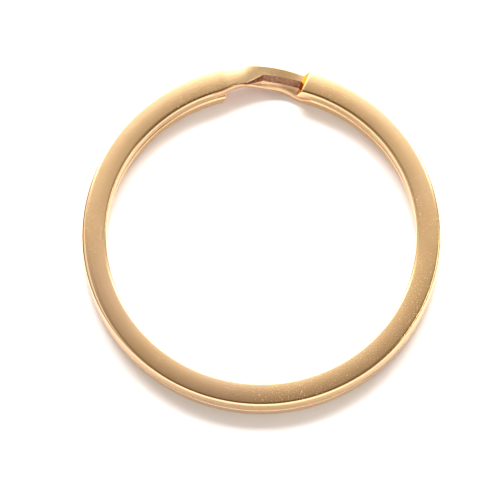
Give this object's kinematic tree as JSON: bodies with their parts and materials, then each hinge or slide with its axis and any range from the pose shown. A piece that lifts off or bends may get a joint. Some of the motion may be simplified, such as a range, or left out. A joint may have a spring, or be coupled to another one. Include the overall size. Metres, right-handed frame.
{
  "type": "split key ring",
  "caption": "Round split key ring of flat gold-tone spring steel, wound in two turns that lie flat on each other, with a stepped crossover and bevelled cut ends that lift to let a key on.",
  "frame": {"origin": "on the eye's axis, in the plane of the underside", "axes": "+Z along the eye's axis, out of the side where the upper turn is; +Y through the middle of the crossover; +X a quarter turn clockwise from it, seen from above"},
  "size_m": [0.03, 0.0302, 0.0029],
  "materials": {
    "polished_gold": "polished",
    "cut_gold": "polished",
    "rough_gold": "satin"
  },
  "bodies": {
    "coil": {"crossover": "rough_gold", "upper_fixed": "polished_gold", "lower_fixed": "polished_gold"},
    "upper_bend_1": {"upper_flex_1": "polished_gold"},
    "upper_bend_2": {"upper_flex_2": "polished_gold"},
    "upper_end": {"upper_free": "polished_gold", "upper_cut_end": "cut_gold"},
    "lower_bend_1": {"lower_flex_1": "polished_gold"},
    "lower_bend_2": {"lower_flex_2": "polished_gold"},
    "lower_end": {"lower_free": "polished_gold", "lower_cut_end": "cut_gold"}
  },
  "joints": [
    {"name": "upper_lift_1", "type": "hinge", "parent": "coil", "child": "upper_bend_1", "pos_m": [-0.01061, -0.01061, 0.00145], "axis": [0.7071, -0.7071, 0], "range_deg": [0, 1.7], "stiffness_Nm_per_rad": 5.6},
    {"name": "upper_lift_2", "type": "hinge", "parent": "upper_bend_1", "child": "upper_bend_2", "pos_m": [0, -0.015, 0.00145], "axis": [1, 0, 0], "range_deg": [0, 1.7], "stiffness_Nm_per_rad": 5.6},
    {"name": "upper_lift_3", "type": "hinge", "parent": "upper_bend_2", "child": "upper_end", "pos_m": [0.01061, -0.01061, 0.00145], "axis": [0.7071, 0.7071, 0], "range_deg": [0, 1.7], "stiffness_Nm_per_rad": 5.6},
    {"name": "lower_lift_1", "type": "hinge", "parent": "coil", "child": "lower_bend_1", "pos_m": [0.01061, -0.01061, 0.0014], "axis": [-0.7071, -0.7071, 0], "range_deg": [0, 1.7], "stiffness_Nm_per_rad": 5.6},
    {"name": "lower_lift_2", "type": "hinge", "parent": "lower_bend_1", "child": "lower_bend_2", "pos_m": [0, -0.015, 0.0014], "axis": [-1, 0, 0], "range_deg": [0, 1.7], "stiffness_Nm_per_rad": 5.6},
    {"name": "lower_lift_3", "type": "hinge", "parent": "lower_bend_2", "child": "lower_end", "pos_m": [-0.01061, -0.01061, 0.0014], "axis": [-0.7071, 0.7071, 0], "range_deg": [0, 1.7], "stiffness_Nm_per_rad": 5.6}
  ]
}
